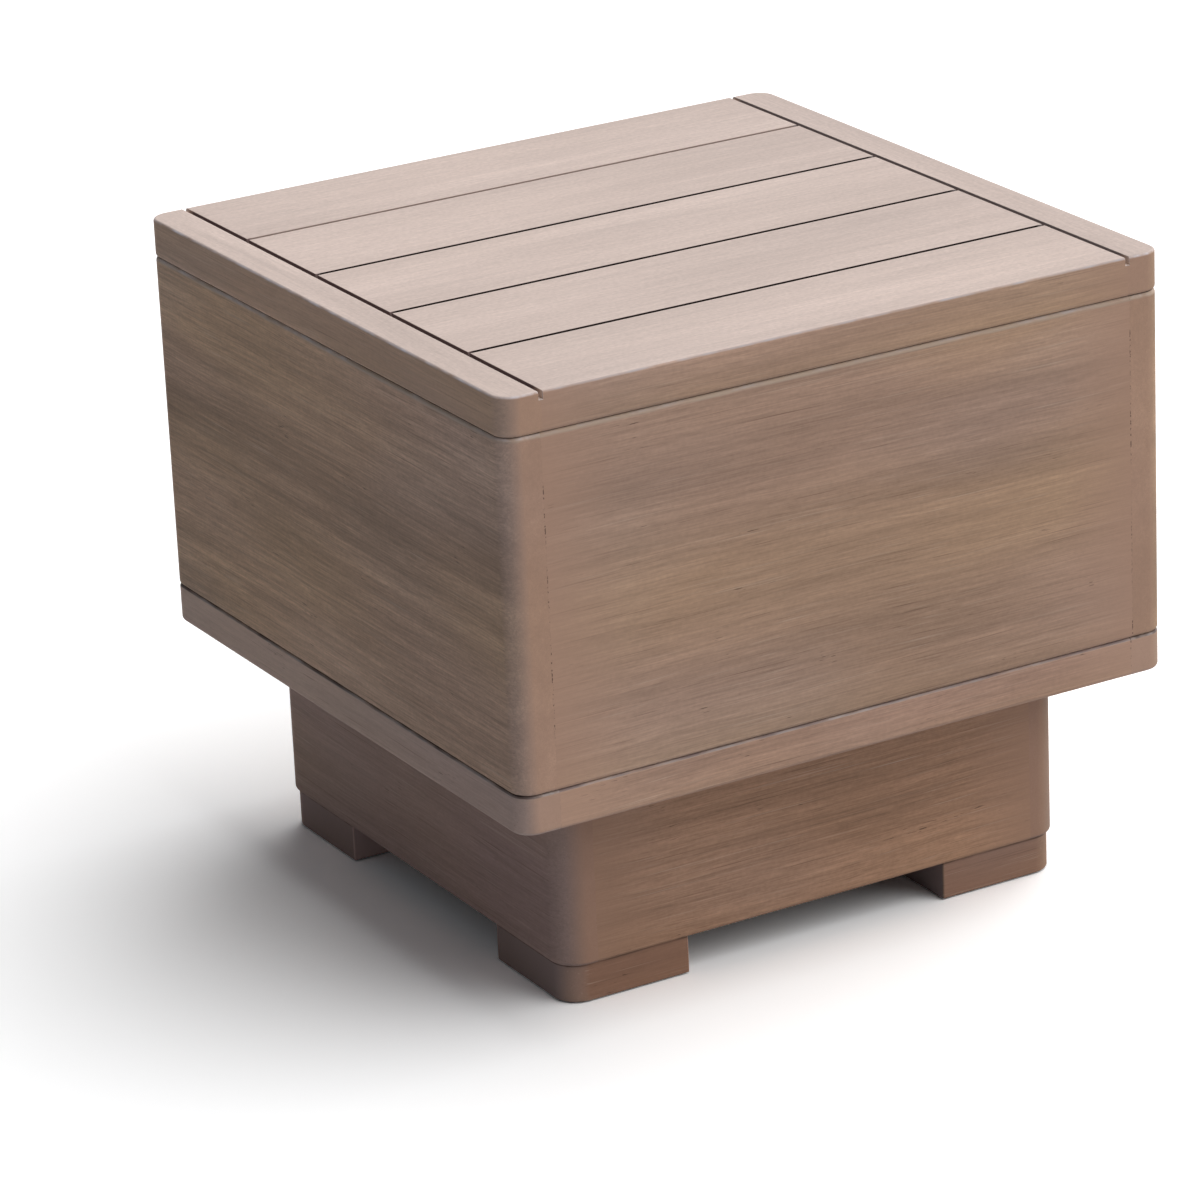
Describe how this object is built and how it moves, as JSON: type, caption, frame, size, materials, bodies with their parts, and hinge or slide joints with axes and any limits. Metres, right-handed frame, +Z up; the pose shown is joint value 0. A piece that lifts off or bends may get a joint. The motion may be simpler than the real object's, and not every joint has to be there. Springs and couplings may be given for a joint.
{
  "type": "side table",
  "caption": "Low square outdoor side table: a boxed wooden body between two breadboard slabs with rounded corners, on a set-back plinth with block feet.",
  "frame": {"origin": "on the floor under the middle of the table, in the plane of the glides' faces", "axes": "+X along the planks of the top and the front face, -Y is the front, +Z up"},
  "size_m": [0.508, 0.5, 0.4535],
  "materials": {
    "top_wood": "washed, brushed, matt",
    "body_wood": "washed, brushed, matt",
    "plinth_wood": "washed, brushed, matt",
    "foot_wood": "washed, brushed, matt",
    "inner_wood": "planed, unfinished",
    "screw_steel": "zinc plated",
    "glide_nylon": "moulded"
  },
  "bodies": {
    "root": {"body_corner_post_back_left": "inner_wood", "body_corner_post_back_right": "inner_wood", "body_corner_post_front_left": "inner_wood", "body_corner_post_front_right": "inner_wood", "body_panel_back": "body_wood", "body_panel_front": "body_wood", "body_panel_left": "body_wood", "body_panel_right": "body_wood", "bottom_batten_pegs": "inner_wood", "bottom_board_1": "body_wood", "bottom_board_2": "body_wood", "bottom_board_3": "body_wood", "bottom_board_4": "body_wood", "bottom_board_5": "body_wood", "bottom_cleat_left": "inner_wood", "bottom_cleat_right": "inner_wood", "bottom_end_batten_left": "body_wood", "bottom_end_batten_right": "body_wood", "bottom_screws": "screw_steel", "foot_back_left": "foot_wood", "foot_back_right": "foot_wood", "foot_front_left": "foot_wood", "foot_front_right": "foot_wood", "foot_glide_back_left": "glide_nylon", "foot_glide_back_right": "glide_nylon", "foot_glide_front_left": "glide_nylon", "foot_glide_front_right": "glide_nylon", "foot_screws": "screw_steel", "plinth_cleat_left": "inner_wood", "plinth_cleat_right": "inner_wood", "plinth_corner_block_back_left": "inner_wood", "plinth_corner_block_back_right": "inner_wood", "plinth_corner_block_front_left": "inner_wood", "plinth_corner_block_front_right": "inner_wood", "plinth_panel_back": "plinth_wood", "plinth_panel_front": "plinth_wood", "plinth_panel_left": "plinth_wood", "plinth_panel_right": "plinth_wood", "plinth_screws": "screw_steel", "top_batten_pegs": "inner_wood", "top_cleat_left": "inner_wood", "top_cleat_right": "inner_wood", "top_cross_batten": "inner_wood", "top_end_batten_left": "top_wood", "top_end_batten_right": "top_wood", "top_plank_1": "top_wood", "top_plank_2": "top_wood", "top_plank_3": "top_wood", "top_plank_4": "top_wood", "top_plank_5": "top_wood", "top_screws": "screw_steel"}
  },
  "joints": []
}
